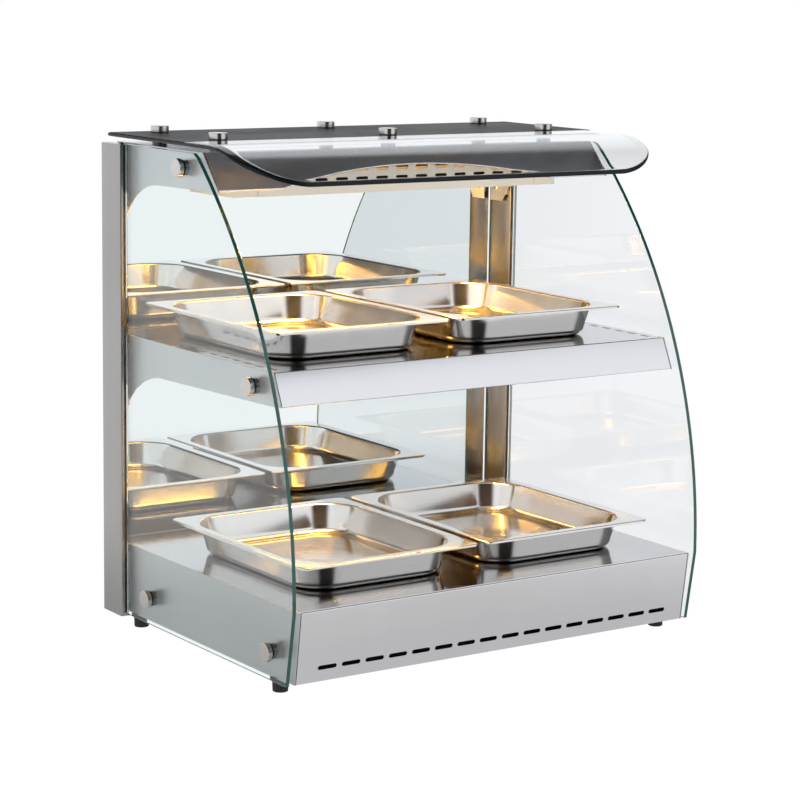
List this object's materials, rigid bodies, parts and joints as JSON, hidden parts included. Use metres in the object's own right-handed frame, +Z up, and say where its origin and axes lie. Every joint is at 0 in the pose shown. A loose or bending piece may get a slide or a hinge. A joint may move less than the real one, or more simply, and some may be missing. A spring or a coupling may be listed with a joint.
{
  "type": "hot food display case",
  "caption": "Countertop hot food display case with a heated deck and shelf, curved glass sides, gastronorm pans and mirrored rear doors.",
  "frame": {"origin": "centre of the footprint, on the surface that the feet stand on", "axes": "+X to the right seen from the customer's side, +Y from the customer's side to the staff's side, +Z up"},
  "size_m": [0.6434, 0.4794, 0.6605],
  "materials": {
    "brushed_steel": "brushed stainless steel",
    "deck_steel": "polished stainless steel deck",
    "pan_steel": "polished stainless steel",
    "housing_steel": "satin stainless steel, warm from the lamps",
    "turned_steel": "fine turned stainless steel",
    "hinge_metal": "satin stainless steel",
    "black_rubber": "matte rubber",
    "clear_glass": "clear toughened glass with a green edge",
    "tinted_glass": "toughened glass, clear in front and printed black behind",
    "mirror_glass": "mirror-coated toughened glass",
    "black_plastic": "fine-grained black plastic",
    "rocker_red": "translucent red plastic",
    "amber_lens": "amber lens",
    "heater_sheath": "dark oxidised metal sheath",
    "quartz": "frosted quartz",
    "ceramic": "glazed ceramic",
    "plated_brass": "plated blades"
  },
  "bodies": {
    "case": {"post_left": "brushed_steel", "post_right": "brushed_steel", "post_end_caps": "brushed_steel", "post_spacers": "brushed_steel", "base_front_panel": "brushed_steel", "base_side_left": "brushed_steel", "base_side_right": "brushed_steel", "base_rear_panel": "brushed_steel", "base_pan": "brushed_steel", "shelf_fascia": "brushed_steel", "shelf_side_left": "brushed_steel", "shelf_side_right": "brushed_steel", "shelf_underside": "brushed_steel", "canopy_top": "brushed_steel", "canopy_fascia": "brushed_steel", "canopy_side_left": "brushed_steel", "canopy_side_right": "brushed_steel", "canopy_underside": "brushed_steel", "lamp_hangers": "brushed_steel", "base_deck": "deck_steel", "shelf_deck": "deck_steel", "lamp_housing": "housing_steel", "lamp_end_covers": "housing_steel", "side_standoff_caps": "turned_steel", "side_standoff_barrels": "turned_steel", "top_standoff_caps": "turned_steel", "top_standoff_barrels": "turned_steel", "standoff_nuts": "turned_steel", "screws": "turned_steel", "pivot_brackets": "hinge_metal", "feet": "black_rubber", "glass_washers": "black_rubber", "side_glass_left": "clear_glass", "side_glass_right": "clear_glass", "shelf_lamp_cover": "clear_glass", "top_glass": "tinted_glass", "door_catches": "black_plastic", "thermostat": "black_plastic", "switch_bodies": "black_plastic", "power_inlet": "black_plastic", "indicator_light": "amber_lens", "deck_heater": "heater_sheath", "shelf_heater": "heater_sheath", "quartz_lamps": "quartz", "lamp_holders": "ceramic", "inlet_pins": "plated_brass"},
    "door_lower": {"door_lower_mirror": "mirror_glass", "door_lower_fittings": "hinge_metal", "door_lower_pull": "hinge_metal"},
    "door_upper": {"door_upper_mirror": "mirror_glass", "door_upper_fittings": "hinge_metal", "door_upper_pull": "hinge_metal"},
    "pan_lower_left": {"pan_lower_left": "pan_steel"},
    "pan_lower_right": {"pan_lower_right": "pan_steel"},
    "pan_upper_left": {"pan_upper_left": "pan_steel"},
    "pan_upper_right": {"pan_upper_right": "pan_steel"},
    "knob": {"thermostat_knob": "black_plastic", "thermostat_spindle": "turned_steel"},
    "power_rocker": {"power_rocker": "rocker_red"},
    "light_rocker": {"light_rocker": "rocker_red"}
  },
  "joints": [
    {"name": "door_lower_hinge", "type": "hinge", "parent": "case", "child": "door_lower", "pos_m": [-0.297, 0.2291, 0.098], "axis": [0, 0, 1], "range_deg": [0, 105]},
    {"name": "door_upper_hinge", "type": "hinge", "parent": "case", "child": "door_upper", "pos_m": [-0.297, 0.2291, 0.376], "axis": [0, 0, 1], "range_deg": [0, 105]},
    {"name": "pan_lower_left_lift", "type": "slide", "parent": "case", "child": "pan_lower_left", "axis": [0, -1, 0], "range_m": [0, 0.45]},
    {"name": "pan_lower_right_lift", "type": "slide", "parent": "case", "child": "pan_lower_right", "axis": [0, -1, 0], "range_m": [0, 0.45]},
    {"name": "pan_upper_left_lift", "type": "slide", "parent": "case", "child": "pan_upper_left", "axis": [0, -1, 0], "range_m": [0, 0.45]},
    {"name": "pan_upper_right_lift", "type": "slide", "parent": "case", "child": "pan_upper_right", "axis": [0, -1, 0], "range_m": [0, 0.45]},
    {"name": "knob_turn", "type": "hinge", "parent": "case", "child": "knob", "pos_m": [-0.18, 0.221, 0.06], "axis": [0, -1, 0], "range_deg": [0, 300]},
    {"name": "power_rocker_tilt", "type": "hinge", "parent": "case", "child": "power_rocker", "pos_m": [-0.112, 0.2196, 0.06], "axis": [1, 0, 0], "range_deg": [-20, 0]},
    {"name": "light_rocker_tilt", "type": "hinge", "parent": "case", "child": "light_rocker", "pos_m": [-0.072, 0.2196, 0.06], "axis": [1, 0, 0], "range_deg": [-20, 0]}
  ]
}
